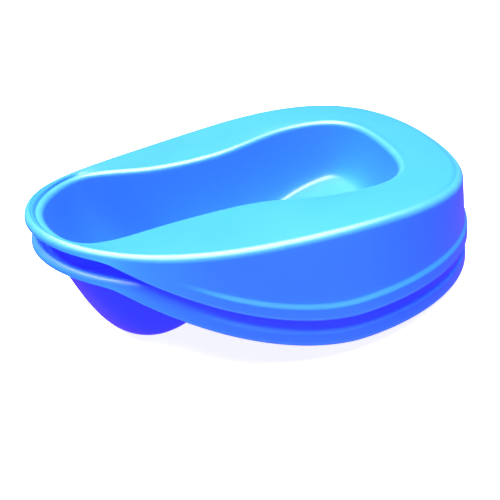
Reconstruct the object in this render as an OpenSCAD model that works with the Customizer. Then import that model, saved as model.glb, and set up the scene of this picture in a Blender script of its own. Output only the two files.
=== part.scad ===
// Two stacked bedpans, each one moulded shell: a wide seat round a keyhole opening, a bowl that is
// deepest at the front and ramps up to the rear, and a skirt that fades into a lip at the front.
// The shape is worked out in the mould's own frame: X to the rear, Z up, Z = 0 at the plane of the hem.

/* [Rim] */
// Length of the rim from the front tip to the rear tip
rim_length = 370; // [300:5:450]
// Greatest width of the rim
rim_width = 281; // [230:1:340]
// Distance from the middle of the length back to the widest place
widest_x = 45; // [20:1:70]
// Height of the rim above the hem at the front tip
rim_front_h = 84; // [70:1:100]
// Height of the rim above the hem at mid length
rim_mid_h = 65.5; // [54:0.5:78]
// Height of the rim above the hem at the rear tip
rim_rear_h = 50.5; // [42:0.5:60]
// Radius of the rolled outer edge
rim_radius = 6.5; // [3:0.5:7]

/* [Opening] */
// Width of the lip between the front tip and the opening
front_lip_w = 15; // [14:0.5:24]
// Width of the seat between the rear tip and the opening
rear_seat_w = 52.5; // [40:0.5:70]
// Opening width across its front lobe
front_lobe_w = 134; // [110:1:145]
// Distance of the front lobe behind the opening's front end
front_lobe_x = 44; // [38:1:60]
// Opening width at its waist
waist_w = 109; // [90:1:125]
// Distance of the waist ahead of mid length
waist_x = 33; // [20:1:50]
// Opening width across its rear lobe
rear_lobe_w = 157; // [130:1:175]
// Distance of the rear lobe ahead of the opening's rear end
rear_lobe_x = 53; // [42:1:64]
// Radius of the opening's rounded edge
opening_radius = 6; // [3:0.5:7]
// How far the opening's edge lies below the rim
seat_dish = 1.7; // [0:0.1:4]

/* [Bowl] */
// Depth of the bowl's underside below the plane of the hem
bowl_drop = 26.5; // [18:0.5:34]
// Slope of the bowl's front and side walls from upright, in degrees
bowl_draft = 9; // [8:0.5:12]
// Slope of the bowl's rear wall from upright, in degrees
rear_wall_draft = 14; // [12:0.5:18]
// Distance of the level part of the floor ahead of mid length
level_floor_x = 108; // [95:1:120]
// Distance ahead of mid length where the floor starts to ramp up
ramp_start_x = 90; // [70:1:100]
// Height of the floor's rear end above the plane of the hem
ramp_end_h = 8; // [2:0.5:20]
// Distance from the opening's front end back to the floor's front end
floor_front_inset = 44.5; // [36:0.5:54]
// Distance from the opening's rear end forward to the floor's rear end
floor_rear_inset = 26; // [20:0.5:34]
// Distance of the floor's front lobe behind its front end
floor_lobe_x = 37; // [30:1:42]
// How far the wall comes in from the opening to the floor on each side, at the front lobe
front_wall_in = 25.5; // [22:0.5:33]
// The same at the waist
waist_wall_in = 30.5; // [26:0.5:36]
// The same at the rear lobe
rear_wall_in = 21; // [17:0.5:30]

/* [Skirt] */
// How far the hem stands out from the rim at the widest place
side_flare = 16; // [12:0.5:20]
// How far the hem stands out from the rim at the rear tip
rear_flare = 3; // [2.5:0.5:8]
// How far the lip's lower edge stands out from the rim at the front tip
front_flare = 1.8; // [1:0.1:3]
// Height of the lip at the front tip
front_lip_h = 5.5; // [5.5:0.5:9]
// Outward step at the top of the hem band
hem_step = 2; // [1:0.1:2.4]
// Height of the hem band
hem_h = 11; // [8:0.5:14]
// Distance behind mid length where the hem starts to rise towards the front
hem_rise_x = 48; // [30:1:60]
// Height that the hem has risen 100 mm further forward
hem_rise_h = 27; // [22:1:32]
// Power of the hem's rise: 1 is a straight line, 2 a parabola
hem_rise_power = 1.7; // [1.4:0.1:2]

/* [Shell and stack] */
// Wall thickness of the shell
wall = 2; // [1.6:0.1:2.6]
// Clearance between the two pans where their walls are steepest
stack_gap = 0.37; // [0.3:0.01:1.5]

/* [Hidden] */

pan_blue = [0.16, 0.45, 0.96];

// Steps along each curve of the opening; the two longer curves of the rim take twice as many
curve_steps = 9;
floor_rows = 4;
wall_rows = 6;
edge_rows = 3;
seat_rows = 3;
lip_rows = 3;

// Handles of the outline curves, each a share of the room between its own two stations:
// in each pair the first belongs to the station that comes first on the way from rear to front
rim_rear_handles = [0.70, 0.67];
rim_front_handles = [0.39, 0.68];
opening_handles = [[0.67, 0.80], [0.40, 0.50], [0.59, 0.29], [0.57, 0.41]];
floor_handles = [[0.80, 0.80], [0.37, 0.45], [0.50, 0.40], [0.40, 0.50]];

// The bowl wall's profile, at the front and sides and then at the rear: depth share of its straight
// upper part, and reach share of its lower handle
wall_straight = [0.66, 0.85];
wall_foot = [0.50, 0.60];

// The hem band fades out where the skirt is lower than this, over this range
hem_fade_h = 28;
hem_fade_range = 18;
// Rounding where the rising hem meets the lip, and the length scale of the hem's rise
hem_blend = 3.3;
hem_rise_run = 100;
// Powers of the rim's rise and fall along the length and of the floor's ramp: 1 is straight, 2 a parabola
rim_power = 2.6;
ramp_power = 1.5;
// Half the height over which the hem's step is spread
step_spread = 2;

half_length = rim_length / 2;
half_width = rim_width / 2;
opening_rear_x = half_length - rear_seat_w;
opening_front_x = front_lip_w - half_length;
floor_rear_x = opening_rear_x - floor_rear_inset;
floor_front_x = opening_front_x + floor_front_inset;
floor_front_w = front_lobe_w - 2 * front_wall_in;
floor_waist_w = waist_w - 2 * waist_wall_in;
floor_rear_w = rear_lobe_w - 2 * rear_wall_in;

// The pan stands on the level part of the bowl and on the hem's rear tip, so the ground slopes in this frame
rest_slope = bowl_drop / (half_length + rear_flare + level_floor_x);
rest_tilt = atan(rest_slope);
// Slope of the rear skirt from upright
rear_draft = atan((rear_flare - hem_step) / rim_rear_h);

function smooth(t) = let (u = max(0, min(1, t))) u * u * (3 - 2 * u);

// A cubic curve between two stations whose tangents run along the axes. A lobe station lies flat,
// along X, and a tip station lies across, along Y. Handles h are shares of the distance between them.
function lobe_handle(lobe, other, share) = [lobe.x + (other.x - lobe.x) * share, lobe.y];
function tip_handle(tip, lobe, share) = [tip.x, tip.y + (lobe.y - tip.y) * share];
function curve(p, q, r, s, steps) = [
    for (i = [0 : steps - 1]) let (t = i / steps, u = 1 - t)
        u * u * u * p + 3 * u * u * t * q + 3 * u * t * t * r + t * t * t * s
];
function from_tip(tip, lobe, h, steps) =
    curve(tip, tip_handle(tip, lobe, h[0]), lobe_handle(lobe, tip, h[1]), lobe, steps);
function to_tip(lobe, tip, h, steps) =
    curve(lobe, lobe_handle(lobe, tip, h[0]), tip_handle(tip, lobe, h[1]), tip, steps);
function between(a, b, h, steps) =
    curve(a, lobe_handle(a, b, h[0]), lobe_handle(b, a, h[1]), b, steps);
// A half outline on the +Y side, closed by its mirror image
function closed(half, tip) = concat(
    half, [tip], [for (i = [len(half) - 1 : -1 : 1]) [half[i].x, -half[i].y]]
);
function keyhole(rear, rear_lobe, waist, front_lobe, front, h) = closed(concat(
    from_tip(rear, rear_lobe, h[0], curve_steps),
    between(rear_lobe, waist, h[1], curve_steps),
    between(waist, front_lobe, h[2], curve_steps),
    to_tip(front_lobe, front, h[3], curve_steps)
), front);

rim_widest = [widest_x, half_width];
rim_line = closed(concat(
    from_tip([half_length, 0], rim_widest, rim_rear_handles, 2 * curve_steps),
    to_tip(rim_widest, [-half_length, 0], rim_front_handles, 2 * curve_steps)
), [-half_length, 0]);
opening_line = keyhole(
    [opening_rear_x, 0], [opening_rear_x - rear_lobe_x, rear_lobe_w / 2],
    [-waist_x, waist_w / 2],
    [opening_front_x + front_lobe_x, front_lobe_w / 2], [opening_front_x, 0],
    opening_handles
);
floor_line = keyhole(
    [floor_rear_x, 0], [opening_rear_x - rear_lobe_x, floor_rear_w / 2],
    [-waist_x, floor_waist_w / 2],
    [floor_front_x + floor_lobe_x, floor_front_w / 2], [floor_front_x, 0],
    floor_handles
);
count = len(rim_line);

// Outward normals of a closed outline that runs from the rear past +Y
function unit(v) = v / norm(v);
function outward(line) = [
    for (i = [0 : count - 1]) let (d = line[(i + 1) % count] - line[(i + count - 1) % count])
        unit([d.y, -d.x])
];
rim_out = outward(rim_line);
opening_out = outward(opening_line);

// Height of the rim, of the floor's top face and of the hem, by distance along the length
function rim_h(x) = let (s = x / half_length)
    rim_mid_h + (s < 0 ? rim_front_h - rim_mid_h : rim_rear_h - rim_mid_h) * pow(abs(s), rim_power);
floor_top = wall / cos(rest_tilt) - bowl_drop;
function level_h(x) = floor_top + rest_slope * (x + level_floor_x);
ramp_rate = (ramp_end_h - level_h(floor_rear_x)) / pow(floor_rear_x + ramp_start_x, ramp_power);
function floor_h(x) = level_h(x) + ramp_rate * pow(max(x + ramp_start_x, 0), ramp_power);
function hem_z(x) = let (
    rise = hem_rise_h * pow(max(hem_rise_x - x, 0) / hem_rise_run, hem_rise_power),
    lip = rim_h(x) - front_lip_h,
    gap = rise - lip
) max(0, (rise + lip - sqrt(gap * gap + hem_blend * hem_blend)) / 2);
function flare(x) = x > widest_x
    ? side_flare + (rear_flare - side_flare) * smooth((x - widest_x) / (half_length - widest_x))
    : side_flare + (front_flare - side_flare) * smooth((widest_x - x) / (half_length + widest_x));

function lift(p, z) = [p.x, p.y, z];

// Rows of the top face, from the middle of the floor out to the hem
floor_middle = [(floor_rear_x + floor_front_x) / 2, 0];
floor_part = [
    for (r = [1 : floor_rows]) [
        for (p = floor_line) let (q = floor_middle + (p - floor_middle) * r / floor_rows)
            lift(q, floor_h(q.x))
    ]
];
// From mid length on, the walls ease over to the rear wall's own slope and profile
rear_share = [for (p = opening_line) smooth(p.x / opening_rear_x)];
function eased(pair, share) = pair[0] + (pair[1] - pair[0]) * share;
wall_draft = [for (s = rear_share) eased([bowl_draft, rear_wall_draft], s)];
wall_top = [for (i = [0 : count - 1])
    opening_line[i] + opening_out[i] * opening_radius * (1 - cos(wall_draft[i]))];
function wall_top_h(i) =
    rim_h(opening_line[i].x) - seat_dish - opening_radius * (1 - sin(wall_draft[i]));
// A cubic profile: it leaves the edge at the draft angle and runs out level on the floor.
// The reach is measured square to the opening's edge.
function wall_point(i, t) = let (
    u = 1 - t,
    drop = wall_top_h(i) - floor_h(floor_line[i].x),
    reach = (wall_top[i] - floor_line[i]) * opening_out[i],
    depth = eased(wall_straight, rear_share[i]),
    foot = eased(wall_foot, rear_share[i]),
    straight = depth * tan(wall_draft[i]) * drop / reach,
    across = 3 * u * u * t * straight + 3 * u * t * t * foot + t * t * t,
    down = 3 * u * u * t * depth + 3 * u * t * t + t * t * t,
    q = wall_top[i] + (floor_line[i] - wall_top[i]) * across,
    base = floor_h(q.x)
) lift(q, base + (wall_top_h(i) - base) * (1 - down));
wall_part = [
    for (r = [1 : wall_rows]) [for (i = [0 : count - 1]) wall_point(i, 1 - r / wall_rows)]
];
edge_part = [
    for (r = [1 : edge_rows]) [
        for (i = [0 : count - 1]) let (
            p = opening_line[i],
            a = wall_draft[i] + (90 - wall_draft[i]) * r / edge_rows
        )
            lift(p + opening_out[i] * opening_radius * (1 - cos(a)),
                rim_h(p.x) - seat_dish - opening_radius * (1 - sin(a)))
    ]
];
seat_part = [
    for (r = [1 : seat_rows]) let (s = r / seat_rows) [
        for (i = [0 : count - 1]) let (
            p = opening_line[i] + opening_out[i] * opening_radius,
            q = rim_line[i] - rim_out[i] * rim_radius,
            m = p + (q - p) * s
        ) lift(m, rim_h(m.x) - seat_dish * (1 - s) * (1 - s))
    ]
];
function skirt_h(i) = rim_h(rim_line[i].x) - hem_z(rim_line[i].x);
function step_out(i) = hem_step * smooth((skirt_h(i) - hem_fade_h) / hem_fade_range);
function skirt_draft(i) = atan((flare(rim_line[i].x) - step_out(i)) / skirt_h(i));
lip_part = [
    for (r = [1 : lip_rows]) [
        for (i = [0 : count - 1]) let (
            a = 90 - (90 - skirt_draft(i)) * r / lip_rows,
            p = rim_line[i]
        ) lift(p - rim_out[i] * rim_radius * (1 - cos(a)), rim_h(p.x) - rim_radius * (1 - sin(a)))
    ]
];
// Skirt rows by height above the hem: the share of the outward step that each has taken,
// and the highest share of the skirt's height that it may lie at where the skirt is low
skirt_rows = [
    [hem_h + step_spread, 0, 0.6],
    [hem_h, 0.5, 0.45],
    [hem_h - step_spread, 1, 0.3],
    [0, 1, 0]
];
skirt_part = [
    for (row = skirt_rows) [
        for (i = [0 : count - 1]) let (
            p = rim_line[i],
            a = skirt_draft(i),
            top = rim_h(p.x) - rim_radius * (1 - sin(a)),
            z = hem_z(p.x) + min(row[0], row[2] * (top - hem_z(p.x))),
            out = (top - z) * tan(a) + step_out(i) * row[1] - rim_radius * (1 - cos(a))
        ) lift(p + rim_out[i] * out, z)
    ]
];
top_rows = concat(floor_part, wall_part, edge_part, seat_part, lip_part, skirt_part);
row_count = len(top_rows);
middle_point = lift(floor_middle, floor_h(floor_middle.x));

// The under face lies one wall thickness below the top face, along its normals
function top_normal(r, i) = let (
    along = top_rows[r][(i + 1) % count] - top_rows[r][(i + count - 1) % count],
    outer = top_rows[min(r + 1, row_count - 1)][i],
    inner = r == 0 ? middle_point : top_rows[r - 1][i]
) unit(cross(outer - inner, along));
under_rows = [
    for (r = [0 : row_count - 1]) [
        for (i = [0 : count - 1]) let (p = top_rows[r][i] - wall * top_normal(r, i))
            // The hem's cut edge is level from its outside to its inside
            r == row_count - 1 ? [p.x, p.y, top_rows[r][i].z] : p
    ]
];
under_middle = middle_point - [0, 0, wall / cos(rest_tilt)];

// How far up a face with this normal has to move to clear itself, when the stack is also moved back
// just enough for the rear walls to clear
nest_step = wall + stack_gap;
function nest_rise(n) = nest_step * (1 - n.x / cos(rear_draft)) / (n.z - n.x * tan(rear_draft));
// The upper pan nests until the steepest place of its bowl's wall is at the clearance
stack_pitch = max([
    for (r = [floor_rows : floor_rows + wall_rows - 1], i = [0 : count - 1])
        nest_rise(top_normal(r, i))
]);
stack_shift = (nest_step - stack_pitch * sin(rear_draft)) / cos(rear_draft);

sheet = row_count * count;
shell_points = concat(
    [for (row = top_rows) each row], [for (row = under_rows) each row], [middle_point, under_middle]
);
// Two triangles for each cell between rows r and r + 1, on the top or the under sheet
function cell(a, b, c, d, flip) = flip ? [[a, b, c], [a, c, d]] : [[a, c, b], [a, d, c]];
function sheet_faces(first, flip) = [
    for (r = [0 : row_count - 2], i = [0 : count - 1])
        let (j = (i + 1) % count, base = first + r * count)
            each cell(base + i, base + count + i, base + count + j, base + j, flip)
];
rim_row = sheet - count;
shell_faces = concat(
    sheet_faces(0, false),
    sheet_faces(sheet, true),
    [for (i = [0 : count - 1]) let (j = (i + 1) % count) [2 * sheet, j, i]],
    [for (i = [0 : count - 1]) let (j = (i + 1) % count) [2 * sheet + 1, sheet + i, sheet + j]],
    [
        for (i = [0 : count - 1]) let (j = (i + 1) % count)
            each cell(rim_row + i, sheet + rim_row + i, sheet + rim_row + j, rim_row + j, false)
    ]
);

// Standing place: tilted so that the level floor lies flat, with the stack centred on its own length
function tilted_x(p) = p.x * cos(rest_tilt) + p.z * sin(rest_tilt);
stack_offset = [stack_shift, 0, stack_pitch];
outer_points = concat(lip_part[0], lip_part[lip_rows - 1], skirt_part[len(skirt_rows) - 1]);
x_low = min([for (p = outer_points) tilted_x(p)]);
x_high = max([for (p = outer_points) tilted_x(p)]);
stack_x = tilted_x(stack_offset);
stand = [
    -(min(x_low, x_low + stack_x) + max(x_high, x_high + stack_x)) / 2,
    0,
    (bowl_drop - rest_slope * level_floor_x) * cos(rest_tilt)
];

module pan(offset) {
    translate(stand) rotate([0, rest_tilt, 0]) translate(offset)
        polyhedron(points = shell_points, faces = shell_faces);
}

module lower_pan() {
    color(pan_blue) pan([0, 0, 0]);
}

module upper_pan() {
    color(pan_blue) pan(stack_offset);
}

lower_pan();
upper_pan();
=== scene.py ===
"""Two stacked bedpans of blue moulded plastic, on a pale floor in soft light.

Both pans are the same closed surface, worked out in the mould's own frame in millimetres: X to the
rear, Z up, Z = 0 at the plane of the hem. It is then tilted on to the floor and carried to the places
of the two CAD pans.
"""

import math

import bpy
import numpy as np
from mathutils import Matrix, Vector


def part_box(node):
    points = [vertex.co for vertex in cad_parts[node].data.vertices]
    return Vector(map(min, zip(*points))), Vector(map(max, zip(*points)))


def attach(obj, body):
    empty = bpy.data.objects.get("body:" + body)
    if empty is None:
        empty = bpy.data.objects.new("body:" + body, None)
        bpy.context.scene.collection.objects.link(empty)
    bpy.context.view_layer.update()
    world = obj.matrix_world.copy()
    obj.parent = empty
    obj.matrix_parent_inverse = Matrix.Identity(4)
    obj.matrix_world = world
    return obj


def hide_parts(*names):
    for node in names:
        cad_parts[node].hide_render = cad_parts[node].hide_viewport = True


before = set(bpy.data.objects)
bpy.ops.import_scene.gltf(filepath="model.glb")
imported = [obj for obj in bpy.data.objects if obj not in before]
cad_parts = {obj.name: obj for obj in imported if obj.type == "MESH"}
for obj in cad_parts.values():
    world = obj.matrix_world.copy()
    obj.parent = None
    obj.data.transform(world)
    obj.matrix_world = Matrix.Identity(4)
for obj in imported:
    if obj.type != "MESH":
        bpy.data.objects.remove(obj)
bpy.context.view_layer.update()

# Rim, in millimetres
RIM_LENGTH, RIM_WIDTH, WIDEST_X = 370.0, 281.0, 45.0
RIM_FRONT_H, RIM_MID_H, RIM_REAR_H = 84.0, 65.5, 50.5
RIM_RADIUS = 6.5
# Opening
FRONT_LIP_W, REAR_SEAT_W = 15.0, 52.5
FRONT_LOBE_W, FRONT_LOBE_X = 134.0, 44.0
WAIST_W, WAIST_X = 109.0, 33.0
REAR_LOBE_W, REAR_LOBE_X = 157.0, 53.0
OPENING_RADIUS, SEAT_DISH = 6.0, 1.7
# Bowl
BOWL_DROP, BOWL_DRAFT, REAR_WALL_DRAFT = 26.5, 9.0, 14.0
LEVEL_FLOOR_X, RAMP_START_X, RAMP_END_H = 108.0, 90.0, 8.0
FLOOR_FRONT_INSET, FLOOR_REAR_INSET, FLOOR_LOBE_X = 44.5, 26.0, 37.0
FRONT_WALL_IN, WAIST_WALL_IN, REAR_WALL_IN = 25.5, 30.5, 21.0
# Skirt and shell
SIDE_FLARE, REAR_FLARE, FRONT_FLARE, FRONT_LIP_H = 16.0, 3.0, 1.8, 5.5
HEM_STEP, HEM_H = 2.0, 11.0
HEM_RISE_X, HEM_RISE_H, HEM_RISE_POWER, HEM_RISE_RUN, HEM_BLEND = 48.0, 27.0, 1.7, 100.0, 3.3
HEM_FADE_H, HEM_FADE_RANGE, STEP_SPREAD = 28.0, 18.0, 2.0
WALL = 2.0
RIM_POWER, RAMP_POWER = 2.6, 1.5
# Handles of the outline curves, as shares of the room between their two stations
RIM_REAR_HANDLES, RIM_FRONT_HANDLES = (0.70, 0.67), (0.39, 0.68)
OPENING_HANDLES = ((0.67, 0.80), (0.40, 0.50), (0.59, 0.29), (0.57, 0.41))
FLOOR_HANDLES = ((0.80, 0.80), (0.37, 0.45), (0.50, 0.40), (0.40, 0.50))
# The bowl wall's profile, at the front and sides and then at the rear
WALL_STRAIGHT, WALL_FOOT = (0.66, 0.85), (0.50, 0.60)
# The hem's cut edge is rounded off by this much, and squared off by this power
HEM_EDGE, HEM_EDGE_POWER = 0.8, 0.6
# Most of the skirt's height that may lie below the step's top, below its foot, and in the cut edge
STEP_TOP_SHARE, STEP_FOOT_SHARE, CUT_SHARE = 0.6, 0.3, 0.1
# How strongly each part is rubbed, and how many rows of the hem are
EDGE_RUB, LIP_RUB, HEM_RUB, HEM_RUB_ROWS = 0.8, 1.0, 0.9, 3

# Fineness of the surface: steps along each opening curve, and rows of each part of the profile
CURVE_STEPS = 36
FLOOR_ROWS, WALL_ROWS, EDGE_ROWS, SEAT_ROWS, LIP_ROWS = 14, 38, 10, 14, 12
SKIRT_ROWS, STEP_ROWS, HEM_ROWS = 14, 12, 12
EDGE_ARC_ROWS = 7

HALF_LENGTH = RIM_LENGTH / 2
OPENING_REAR_X = HALF_LENGTH - REAR_SEAT_W
OPENING_FRONT_X = FRONT_LIP_W - HALF_LENGTH
FLOOR_REAR_X = OPENING_REAR_X - FLOOR_REAR_INSET
FLOOR_FRONT_X = OPENING_FRONT_X + FLOOR_FRONT_INSET
REST_SLOPE = BOWL_DROP / (HALF_LENGTH + REAR_FLARE + LEVEL_FLOOR_X)
REST_TILT = math.atan(REST_SLOPE)


def smooth(t):
    """3t^2 - 2t^3 with t held between 0 and 1."""
    t = np.clip(t, 0.0, 1.0)
    return t * t * (3 - 2 * t)


def eased(pair, share):
    """From the pair's first value to its second, by the share."""
    return pair[0] + (pair[1] - pair[0]) * share


def curve(p, q, r, s, steps):
    """Cubic curve u^3 p + 3u^2 t q + 3u t^2 r + t^3 s, with u = 1 - t and t from 0 up to but not at 1."""
    t = (np.arange(steps) / steps)[:, None]
    u = 1 - t
    return u**3 * p + 3 * u * u * t * q + 3 * u * t * t * r + t**3 * s


def lobe_handle(lobe, other, share):
    """A handle along X from a lobe station, a share of the way to the other station."""
    return np.array([lobe[0] + (other[0] - lobe[0]) * share, lobe[1]])


def tip_handle(tip, lobe, share):
    """A handle along Y from a tip station, a share of the lobe's height away."""
    return np.array([tip[0], tip[1] + (lobe[1] - tip[1]) * share])


def from_tip(tip, lobe, h, steps):
    """Curve from a tip, which it leaves along Y, to a lobe, where it runs along X."""
    ends = tip_handle(tip, lobe, h[0]), lobe_handle(lobe, tip, h[1])
    return curve(np.array(tip), *ends, np.array(lobe), steps)


def to_tip(lobe, tip, h, steps):
    """Curve from a lobe, where it runs along X, to a tip, where it runs along Y."""
    ends = lobe_handle(lobe, tip, h[0]), tip_handle(tip, lobe, h[1])
    return curve(np.array(lobe), *ends, np.array(tip), steps)


def between(a, b, h, steps):
    """Curve between two stations that both run along X."""
    return curve(np.array(a), lobe_handle(a, b, h[0]), lobe_handle(b, a, h[1]), np.array(b), steps)


def closed(half, tip):
    """A half outline on the +Y side, then the front tip, then the half's mirror image."""
    return np.vstack([half, [tip], half[:0:-1] * [1, -1]])


def keyhole(rear, rear_lobe, waist, front_lobe, front, h):
    """Outline through a rear tip, a rear lobe, a waist, a front lobe and a front tip."""
    half = np.vstack(
        [
            from_tip(rear, rear_lobe, h[0], CURVE_STEPS),
            between(rear_lobe, waist, h[1], CURVE_STEPS),
            between(waist, front_lobe, h[2], CURVE_STEPS),
            to_tip(front_lobe, front, h[3], CURVE_STEPS),
        ]
    )
    return closed(half, front)


def outward(line):
    """Unit normals of a closed outline, from the chord between each point's two neighbours."""
    chord = np.roll(line, -1, 0) - np.roll(line, 1, 0)
    normal = np.stack([chord[:, 1], -chord[:, 0]], 1)
    return normal / np.linalg.norm(normal, axis=1)[:, None]


def rim_height(x):
    """Rim height above the hem: from the middle's to each tip's by the share of the way, to a power."""
    share = x / HALF_LENGTH
    tip = np.where(share < 0, RIM_FRONT_H, RIM_REAR_H)
    return RIM_MID_H + (tip - RIM_MID_H) * np.abs(share) ** RIM_POWER


def level_height(x):
    """Height of a floor that is level when the pan stands on the ground."""
    return WALL / math.cos(REST_TILT) - BOWL_DROP + REST_SLOPE * (x + LEVEL_FLOOR_X)


RAMP_RATE = (RAMP_END_H - level_height(FLOOR_REAR_X)) / (FLOOR_REAR_X + RAMP_START_X) ** RAMP_POWER


def floor_height(x):
    """The level floor plus a ramp that grows with the distance behind its start, to a power."""
    return level_height(x) + RAMP_RATE * np.maximum(x + RAMP_START_X, 0) ** RAMP_POWER


def hem_height(x):
    """The hem's rise towards the front, blended by a soft minimum into the lip's lower edge."""
    rise = HEM_RISE_H * (np.maximum(HEM_RISE_X - x, 0) / HEM_RISE_RUN) ** HEM_RISE_POWER
    lip = rim_height(x) - FRONT_LIP_H
    return np.maximum(0, (rise + lip - np.sqrt((rise - lip) ** 2 + HEM_BLEND**2)) / 2)


def flare(x):
    """How far the hem stands out: full at the widest place, easing to each tip's own value."""
    rear = smooth((x - WIDEST_X) / (HALF_LENGTH - WIDEST_X))
    front = smooth((WIDEST_X - x) / (HALF_LENGTH + WIDEST_X))
    to_rear = SIDE_FLARE + (REAR_FLARE - SIDE_FLARE) * rear
    return np.where(x > WIDEST_X, to_rear, SIDE_FLARE + (FRONT_FLARE - SIDE_FLARE) * front)


def raised(plan, z):
    """Plan points (..., 2) and heights (...) as points (..., 3)."""
    return np.concatenate([plan, np.asarray(z)[..., None]], -1)


def shares(rows):
    """Column of the shares 1/rows, 2/rows ... 1, one for each row."""
    return (np.arange(1, rows + 1) / rows)[:, None]


def top_sheet():
    """The top face as rows of points from the floor's middle out to the hem, each row's part of the pan, the
    floor's middle point, and how far the cut edge is rounded off at each station.

    Floor: the floor outline shrunk to its middle by each share. Wall: from the opening's edge to the
    floor by a cubic profile that leaves at the draft angle and ends level. Edge and lip: arcs square
    to the outline. Seat: straight across, with a shallow dish. Skirt: straight down at the skirt's
    slope, with an S-shaped step outwards at the top of the hem band.
    """
    widest = (WIDEST_X, RIM_WIDTH / 2)
    rim = closed(
        np.vstack(
            [
                from_tip((HALF_LENGTH, 0), widest, RIM_REAR_HANDLES, 2 * CURVE_STEPS),
                to_tip(widest, (-HALF_LENGTH, 0), RIM_FRONT_HANDLES, 2 * CURVE_STEPS),
            ]
        ),
        (-HALF_LENGTH, 0),
    )
    opening = keyhole(
        (OPENING_REAR_X, 0),
        (OPENING_REAR_X - REAR_LOBE_X, REAR_LOBE_W / 2),
        (-WAIST_X, WAIST_W / 2),
        (OPENING_FRONT_X + FRONT_LOBE_X, FRONT_LOBE_W / 2),
        (OPENING_FRONT_X, 0),
        OPENING_HANDLES,
    )
    floor_line = keyhole(
        (FLOOR_REAR_X, 0),
        (OPENING_REAR_X - REAR_LOBE_X, REAR_LOBE_W / 2 - REAR_WALL_IN),
        (-WAIST_X, WAIST_W / 2 - WAIST_WALL_IN),
        (FLOOR_FRONT_X + FLOOR_LOBE_X, FRONT_LOBE_W / 2 - FRONT_WALL_IN),
        (FLOOR_FRONT_X, 0),
        FLOOR_HANDLES,
    )
    rim_out, opening_out = outward(rim), outward(opening)
    middle = np.array([(FLOOR_REAR_X + FLOOR_FRONT_X) / 2, 0.0])

    plan = middle + (floor_line - middle) * shares(FLOOR_ROWS)[..., None]
    floor = raised(plan, floor_height(plan[..., 0]))

    to_rear = smooth(opening[:, 0] / OPENING_REAR_X)
    draft = np.radians(eased((BOWL_DRAFT, REAR_WALL_DRAFT), to_rear))
    depth, foot = eased(WALL_STRAIGHT, to_rear), eased(WALL_FOOT, to_rear)
    seat_edge_h = rim_height(opening[:, 0]) - SEAT_DISH
    wall_top = opening + opening_out * (OPENING_RADIUS * (1 - np.cos(draft)))[:, None]
    wall_top_h = seat_edge_h - OPENING_RADIUS * (1 - np.sin(draft))
    drop = wall_top_h - floor_height(floor_line[:, 0])
    reach = ((wall_top - floor_line) * opening_out).sum(1)
    straight = depth * np.tan(draft) * drop / reach
    t = 1 - shares(WALL_ROWS)
    u = 1 - t
    across = 3 * u * u * t * straight + 3 * u * t * t * foot + t**3
    down = 3 * u * u * t * depth + 3 * u * t * t + t**3
    plan = wall_top + (floor_line - wall_top) * across[..., None]
    base = floor_height(plan[..., 0])
    wall = raised(plan, base + (wall_top_h - base) * (1 - down))

    angle = draft + (math.pi / 2 - draft) * shares(EDGE_ROWS)
    plan = opening + opening_out * (OPENING_RADIUS * (1 - np.cos(angle)))[..., None]
    edge = raised(plan, seat_edge_h - OPENING_RADIUS * (1 - np.sin(angle)))

    inner = opening + opening_out * OPENING_RADIUS
    share = shares(SEAT_ROWS)
    plan = inner + (rim - rim_out * RIM_RADIUS - inner) * share[..., None]
    seat = raised(plan, rim_height(plan[..., 0]) - SEAT_DISH * (1 - share) ** 2)

    x = rim[:, 0]
    rim_h, hem_h = rim_height(x), hem_height(x)
    step = HEM_STEP * smooth((rim_h - hem_h - HEM_FADE_H) / HEM_FADE_RANGE)
    slope = np.arctan((flare(x) - step) / (rim_h - hem_h))
    angle = math.pi / 2 - (math.pi / 2 - slope) * shares(LIP_ROWS)
    plan = rim - rim_out * (RIM_RADIUS * (1 - np.cos(angle)))[..., None]
    lip = raised(plan, rim_h - RIM_RADIUS * (1 - np.sin(angle)))

    top = rim_h - RIM_RADIUS * (1 - np.sin(slope))
    room = top - hem_h
    above = np.minimum(HEM_H + STEP_SPREAD, STEP_TOP_SHARE * room)
    below = np.minimum(HEM_H - STEP_SPREAD, STEP_FOOT_SHARE * room)
    end = np.minimum(HEM_EDGE, CUT_SHARE * room)
    height = np.vstack(
        [
            room + (above - room) * shares(SKIRT_ROWS),
            above + (below - above) * shares(STEP_ROWS),
            below + (end - below) * shares(HEM_ROWS),
        ]
    )
    stepped = np.vstack([0 * shares(SKIRT_ROWS), smooth(shares(STEP_ROWS)), 1 + 0 * shares(HEM_ROWS)])
    out = (room - height) * np.tan(slope) + step * stepped - RIM_RADIUS * (1 - np.cos(slope))
    skirt = raised(rim + rim_out * out[..., None], hem_h + height)

    rows = np.concatenate([floor, wall, edge, seat, lip, skirt])
    parts = np.repeat(
        ["floor", "wall", "edge", "seat", "lip", "skirt"],
        [len(part) for part in (floor, wall, edge, seat, lip, skirt)],
    )
    return rows, parts, raised(middle, floor_height(middle[0])), end


def sheet_normals(rows, middle):
    """Unit normals: the cross product of each point's step outwards and its step along the row."""
    along = np.roll(rows, -1, 1) - np.roll(rows, 1, 1)
    padded = np.concatenate([np.broadcast_to(middle, rows[:1].shape), rows, rows[-1:]])
    normal = np.cross(padded[2:] - padded[:-2], along)
    return normal / np.linalg.norm(normal, axis=2)[..., None]


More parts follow.
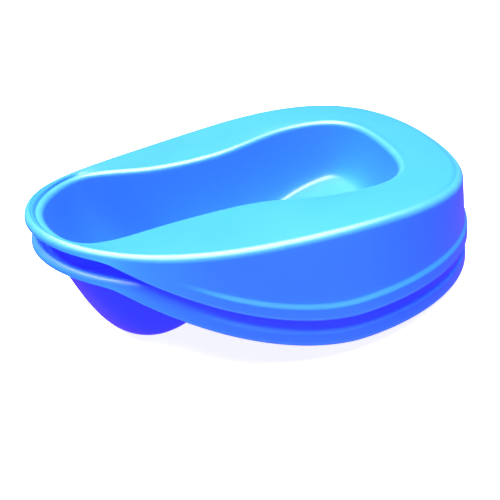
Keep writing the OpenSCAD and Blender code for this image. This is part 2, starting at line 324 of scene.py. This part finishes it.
def pan_shell():
    """The whole shell as one grid that runs from the floor's middle on top, round the hem, and back under.

    The under face is the top face less one wall along its normals. The hem's edge between them is
    an arc across the wall: cosine and sine of the turn, each to a power that squares it off.
    """
    rows, parts, middle, end = top_sheet()
    normals = sheet_normals(rows, middle)
    under = rows - WALL * normals
    under[-1, :, 2] = rows[-1, :, 2]
    turn = (np.pi * np.arange(1, EDGE_ARC_ROWS + 1) / (EDGE_ARC_ROWS + 1))[:, None]
    across = np.sign(np.cos(turn)) * np.abs(np.cos(turn)) ** HEM_EDGE_POWER
    centre, half = (rows[-1] + under[-1]) / 2, (rows[-1] - under[-1]) / 2
    arc = centre + half * across[..., None]
    arc[..., 2] -= end * np.sin(turn) ** HEM_EDGE_POWER
    grid = np.concatenate([rows, arc, under[::-1]])
    poles = np.array([middle, middle - [0, 0, WALL / math.cos(REST_TILT)]])

    # Where hands and other pans rub: the middle of each rounded edge, and the hem
    rub = np.zeros(len(grid))
    edge = np.flatnonzero(parts == "edge")
    lip = np.flatnonzero(parts == "lip")
    rub[edge] = EDGE_RUB * np.sin(np.linspace(0, np.pi, len(edge)))
    rub[lip] = LIP_RUB * np.sin(np.linspace(0, np.pi, len(lip)))
    rub[len(rows) - HEM_RUB_ROWS : len(rows) + EDGE_ARC_ROWS + HEM_RUB_ROWS] = HEM_RUB
    return grid, poles, np.repeat(rub, grid.shape[1])


def standing(points):
    """Turned about Y by the rest tilt, so that the level part of the floor lies flat."""
    c, s = math.cos(REST_TILT), math.sin(REST_TILT)
    x, y, z = points[..., 0], points[..., 1], points[..., 2]
    return np.stack([x * c + z * s, y, z * c - x * s], -1)


def pan_mesh(name, node, grid, poles, rub):
    """The shell's grid as a mesh; the middle points close its ends.

    It is carried into the frame in metres and fitted to the CAD node's box, which changes its size by a few
    tenths of a millimetre at most.
    """
    rows, count = grid.shape[:2]
    points = standing(np.vstack([grid.reshape(-1, 3), poles]))
    low, high = (np.array(corner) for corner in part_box(node))
    points = low + (points - points.min(0)) * (high - low) / np.ptp(points, axis=0)

    column = np.arange(count)
    following = (column + 1) % count
    first = (np.arange(rows - 1) * count)[:, None]
    a, b = first + column, first + following
    quads = np.stack([a, a + count, b + count, b], -1).reshape(-1, 4)
    last = (rows - 1) * count
    start_fan = np.stack([np.full(count, rows * count), column, following], -1)
    end_fan = np.stack([np.full(count, rows * count + 1), last + following, last + column], -1)

    mesh = bpy.data.meshes.new(name)
    mesh.from_pydata(points, [], quads.tolist() + start_fan.tolist() + end_fan.tolist())
    mesh.polygons.foreach_set("use_smooth", np.ones(len(mesh.polygons), bool))
    attribute = mesh.attributes.new("edge_rub", "FLOAT", "POINT")
    attribute.data.foreach_set("value", np.append(rub, [0.0, 0.0]).astype(np.float32))
    mesh.update()
    pan = bpy.data.objects.new(name, mesh)
    bpy.context.scene.collection.objects.link(pan)
    return pan


# Materials. Pattern sizes are in repeats a metre.
WAVE_SCALE, GRAIN_SCALE = 22.0, 1500.0
CLOUD_SCALE = 14.0
SCRATCH_SCALE, SCRATCH_TURN = (90.0, 2600.0, 900.0), math.radians(24)
SCRATCH_FLOOR, SCRATCH_GAIN = 0.62, 5.0
TINT_SCALE, WEAR_SCALE = 9.0, 60.0
PLASTIC_DEEP, PLASTIC_LIGHT = (0.013, 0.135, 0.93, 1), (0.018, 0.165, 1.0, 1)
PLASTIC_RUBBED, RUBBED_SHARE = (0.10, 0.36, 1.0, 1), 0.35
PLASTIC_ROUGHNESS, RUBBED_ROUGHNESS, PLASTIC_SPECULAR = 0.275, 0.12, 0.5
# Painted glow: the plastic gives off a faint blue light of its own everywhere, which lightens its shaded
# gaps and undersides
PAINTED_GLOW_COLOUR, PAINTED_GLOW_STRENGTH = (0.06, 0.06, 1.0, 1), 0.28
PAPER_DARK, PAPER_LIGHT = (0.50, 0.50, 0.50, 1), (0.54, 0.54, 0.54, 1)
PAPER_ROUGHNESS, PAPER_SPECULAR, PAPER_GLOW = 0.9, 0.1, 1.7


def node_group(name, inputs, outputs):
    """An empty shader group with named sockets: {name: (kind, default)} in, {name: kind} out."""
    group = bpy.data.node_groups.new(name, "ShaderNodeTree")
    for socket, (kind, default) in inputs.items():
        made = group.interface.new_socket(socket, in_out="INPUT", socket_type=kind)
        made.default_value = default
    for socket, kind in outputs.items():
        group.interface.new_socket(socket, in_out="OUTPUT", socket_type=kind)
    start = group.nodes.new("NodeGroupInput")
    end = group.nodes.new("NodeGroupOutput")
    return group, start, end


def put(tree, kind, **values):
    """A node of that kind, with its named input values set."""
    node = tree.nodes.new(kind)
    for socket, value in values.items():
        node.inputs[socket.replace("_", " ")].default_value = value
    return node


def maths(tree, operation, a, b):
    """A Math node over two sockets or numbers."""
    node = tree.nodes.new("ShaderNodeMath")
    node.operation = operation
    for socket, value in zip(node.inputs, (a, b)):
        if isinstance(value, (int, float)):
            socket.default_value = value
        else:
            tree.links.new(value, socket)
    return node.outputs[0]


def noise(tree, scale, detail, roughness):
    """Noise on Object coordinates, as its value socket."""
    place = tree.nodes.new("ShaderNodeTexCoord")
    node = put(tree, "ShaderNodeTexNoise", Scale=scale, Detail=detail, Roughness=roughness)
    tree.links.new(place.outputs["Object"], node.inputs["Vector"])
    return node.outputs["Fac"]


def moulded_skin():
    """Height of a moulded surface: slow waviness from cooling and a fine grain."""
    group, start, end = node_group(
        "moulded_skin",
        {"Wave": ("NodeSocketFloat", 1.0), "Grain": ("NodeSocketFloat", 1.0)},
        {"Height": "NodeSocketFloat"},
    )
    wave = maths(group, "MULTIPLY", noise(group, WAVE_SCALE, 1.0, 0.4), start.outputs["Wave"])
    grain = maths(group, "MULTIPLY", noise(group, GRAIN_SCALE, 2.0, 0.5), start.outputs["Grain"])
    group.links.new(maths(group, "ADD", wave, grain), end.inputs["Height"])
    return group


def handling():
    """Mask of faint cloudy wiping marks and short hairline scratches, from 0 to 1."""
    group, start, end = node_group(
        "handling",
        {"Clouds": ("NodeSocketFloat", 0.5), "Scratches": ("NodeSocketFloat", 0.5)},
        {"Mask": "NodeSocketFloat"},
    )
    clouds = maths(group, "MULTIPLY", noise(group, CLOUD_SCALE, 4.0, 0.6), start.outputs["Clouds"])
    place = group.nodes.new("ShaderNodeTexCoord")
    stretch = group.nodes.new("ShaderNodeMapping")
    stretch.inputs["Scale"].default_value = SCRATCH_SCALE
    stretch.inputs["Rotation"].default_value = (0.0, 0.0, SCRATCH_TURN)
    lines = put(group, "ShaderNodeTexNoise", Scale=1.0, Detail=2.0, Roughness=0.5)
    group.links.new(place.outputs["Object"], stretch.inputs["Vector"])
    group.links.new(stretch.outputs["Vector"], lines.inputs["Vector"])
    crest = maths(group, "SUBTRACT", lines.outputs["Fac"], SCRATCH_FLOOR)
    thin = maths(group, "MULTIPLY", crest, SCRATCH_GAIN)
    thin.node.use_clamp = True
    scratches = maths(group, "MULTIPLY", thin, start.outputs["Scratches"])
    group.links.new(maths(group, "ADD", clouds, scratches), end.inputs["Mask"])
    return group


def mixed(tree, factor, a, b):
    """Colour between a and b; each is a colour or a socket."""
    node = tree.nodes.new("ShaderNodeMix")
    node.data_type = "RGBA"
    tree.links.new(factor, node.inputs["Factor"])
    for socket, value in ((node.inputs[6], a), (node.inputs[7], b)):
        if isinstance(value, tuple):
            socket.default_value = value
        else:
            tree.links.new(value, socket)
    return node.outputs[2]


def surface(name, roughness, specular):
    """A new material with a Principled surface; returns it, its tree and the shader."""
    material = bpy.data.materials.new(name)
    material.use_nodes = True
    tree = material.node_tree
    shader = tree.nodes["Principled BSDF"]
    shader.inputs["Roughness"].default_value = roughness
    shader.inputs["Specular IOR Level"].default_value = specular
    return material, tree, shader


def grouped(tree, group, **values):
    """A group placed in a tree with its own values."""
    node = tree.nodes.new("ShaderNodeGroup")
    node.node_tree = group
    for socket, value in values.items():
        node.inputs[socket].default_value = value
    return node


def bumped(tree, shader, height, distance, strength):
    """Feeds a height into the shader's normal."""
    bump = put(tree, "ShaderNodeBump", Strength=strength, Distance=distance)
    tree.links.new(height, bump.inputs["Height"])
    tree.links.new(bump.outputs["Normal"], shader.inputs["Normal"])


def pan_plastic(skin, marks):
    """Glossy blue moulded plastic: slightly uneven, paler where edges are rubbed, duller where wiped, with a
    faint painted glow that lightens its shade.
    """
    material, tree, shader = surface("pan_plastic", PLASTIC_ROUGHNESS, PLASTIC_SPECULAR)
    # Painted glow: a faint blue emission that lightens the plastic's shaded parts
    shader.inputs["Emission Color"].default_value = PAINTED_GLOW_COLOUR
    shader.inputs["Emission Strength"].default_value = PAINTED_GLOW_STRENGTH
    tint = noise(tree, TINT_SCALE, 2.0, 0.5)
    colour = mixed(tree, tint, PLASTIC_DEEP, PLASTIC_LIGHT)
    rub = tree.nodes.new("ShaderNodeAttribute")
    rub.attribute_name = "edge_rub"
    wear = maths(tree, "MULTIPLY", rub.outputs["Fac"], noise(tree, WEAR_SCALE, 4.0, 0.6))
    colour = mixed(tree, maths(tree, "MULTIPLY", wear, RUBBED_SHARE), colour, PLASTIC_RUBBED)
    tree.links.new(colour, shader.inputs["Base Color"])
    wiped = grouped(tree, marks, Clouds=0.1, Scratches=0.05)
    rough = maths(tree, "ADD", maths(tree, "MULTIPLY", wear, RUBBED_ROUGHNESS), wiped.outputs["Mask"])
    tree.links.new(maths(tree, "ADD", rough, PLASTIC_ROUGHNESS), shader.inputs["Roughness"])
    height = grouped(tree, skin, Wave=1.0, Grain=0.02)
    bumped(tree, shader, height.outputs["Height"], distance=0.0005, strength=0.25)
    return material


def floor_paper(skin, marks):
    """Pale matt backdrop paper, a little uneven and lit from behind."""
    material, tree, shader = surface("floor_paper", PAPER_ROUGHNESS, PAPER_SPECULAR)
    clouds = grouped(tree, marks, Clouds=0.6, Scratches=0.0)
    colour = mixed(tree, clouds.outputs["Mask"], PAPER_DARK, PAPER_LIGHT)
    tree.links.new(colour, shader.inputs["Base Color"])
    tree.links.new(colour, shader.inputs["Emission Color"])
    shader.inputs["Emission Strength"].default_value = PAPER_GLOW
    height = grouped(tree, skin, Wave=0.2, Grain=0.3)
    bumped(tree, shader, height.outputs["Height"], distance=0.0003, strength=0.2)
    return material


# Pans
grid, poles, rub = pan_shell()
skin, marks = moulded_skin(), handling()
plastic = pan_plastic(skin, marks)
for body in ("lower_pan", "upper_pan"):
    pan = pan_mesh(body + "_shell", body, grid, poles, rub)
    pan.data.materials.append(plastic)
    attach(pan, body)
    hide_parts(body)


# Floor, in metres
FLOOR_HALF, FLOOR_CELLS, FLOOR_DROP = 6.0, 12, 0.0002


def floor_sheet(half, cells):
    """A level square grid of cells, just under the pans."""
    line = np.linspace(-half, half, cells + 1)
    x, y = np.meshgrid(line, line, indexing="ij")
    points = np.stack([x.ravel(), y.ravel(), np.full(x.size, -FLOOR_DROP)], -1)
    i, j = (v.ravel() for v in np.meshgrid(np.arange(cells), np.arange(cells), indexing="ij"))
    a = i * (cells + 1) + j
    mesh = bpy.data.meshes.new("floor")
    mesh.from_pydata(points, [], np.stack([a, a + cells + 1, a + cells + 2, a + 1], -1).tolist())
    sheet = bpy.data.objects.new("floor", mesh)
    bpy.context.scene.collection.objects.link(sheet)
    return sheet


floor = floor_sheet(FLOOR_HALF, FLOOR_CELLS)
floor.data.materials.append(floor_paper(skin, marks))
floor.visible_diffuse = False
floor.visible_glossy = False


# Camera and light. Places are in metres, angles in degrees.
CAMERA_PLACE = Vector((-0.04542, -0.50701, 0.33875))
CAMERA_AZIMUTH, CAMERA_ELEVATION, CAMERA_ROLL, CAMERA_LENS = -4.059, 31.769, -17.664, 45.49
AIR_ABOVE, AIR_BELOW = (0.10, 0.07, 0.30, 1), (0.40, 0.12, 1.2, 1)
AIR_STEEPNESS, AIR_AT_HORIZON = 1.3, 0.8


def direction(azimuth, elevation):
    """Unit vector from the object towards a viewer at that azimuth and elevation, in degrees."""
    a, e = math.radians(azimuth), math.radians(elevation)
    return Vector((math.sin(a) * math.cos(e), -math.cos(a) * math.cos(e), math.sin(e)))


def camera(location, azimuth, elevation, roll, lens):
    """Camera at a place, looking along -direction(azimuth, elevation), turned by roll about its own axis."""
    back = direction(azimuth, elevation)
    right = Vector((0, 0, 1)).cross(back).normalized()
    up = back.cross(right)
    c, s = math.cos(math.radians(roll)), math.sin(math.radians(roll))
    right, up = right * c + up * s, up * c - right * s
    data = bpy.data.cameras.new("camera")
    data.lens, data.sensor_width = lens, 36.0
    made = bpy.data.objects.new("camera", data)
    made.matrix_world = Matrix.Translation(location) @ Matrix((right, up, back)).transposed().to_4x4()
    bpy.context.scene.collection.objects.link(made)
    bpy.context.scene.camera = made


camera(CAMERA_PLACE, CAMERA_AZIMUTH, CAMERA_ELEVATION, CAMERA_ROLL, CAMERA_LENS)


def soft_light(name, azimuth, elevation, strength, softness, tint):
    """A distant soft light from that side, as wide as softness in degrees."""
    data = bpy.data.lights.new(name, "SUN")
    data.energy, data.angle = strength, math.radians(softness)
    data.color = tint
    light = bpy.data.objects.new(name, data)
    light.rotation_mode = "QUATERNION"
    light.rotation_quaternion = (-direction(azimuth, elevation)).to_track_quat("-Z", "Y")
    bpy.context.scene.collection.objects.link(light)


def studio_air(above, below):
    """Even light from all round: one colour from above, another from below, eased by the height looked at.

    The camera itself sees the air as white.
    """
    world = bpy.data.worlds.new("studio_air")
    bpy.context.scene.world = world
    world.use_nodes = True
    tree = world.node_tree
    place = tree.nodes.new("ShaderNodeTexCoord")
    parts = tree.nodes.new("ShaderNodeSeparateXYZ")
    tree.links.new(place.outputs["Generated"], parts.inputs[0])
    height = maths(tree, "MULTIPLY", parts.outputs["Z"], AIR_STEEPNESS)
    share = maths(tree, "ADD", height, AIR_AT_HORIZON)
    share.node.use_clamp = True
    colour = mixed(tree, share, below, above)
    to_camera = tree.nodes.new("ShaderNodeLightPath").outputs["Is Camera Ray"]
    seen = mixed(tree, to_camera, colour, (1, 1, 1, 1))
    tree.links.new(seen, tree.nodes["Background"].inputs["Color"])


soft_light("overhead_light", 165, 84, strength=17.2, softness=60, tint=(1, 1, 1))
soft_light("fill_light", -10, 15, strength=0.5, softness=90, tint=(0.6, 0.75, 1))
studio_air(AIR_ABOVE, AIR_BELOW)
bpy.context.scene.view_settings.view_transform = "Standard"
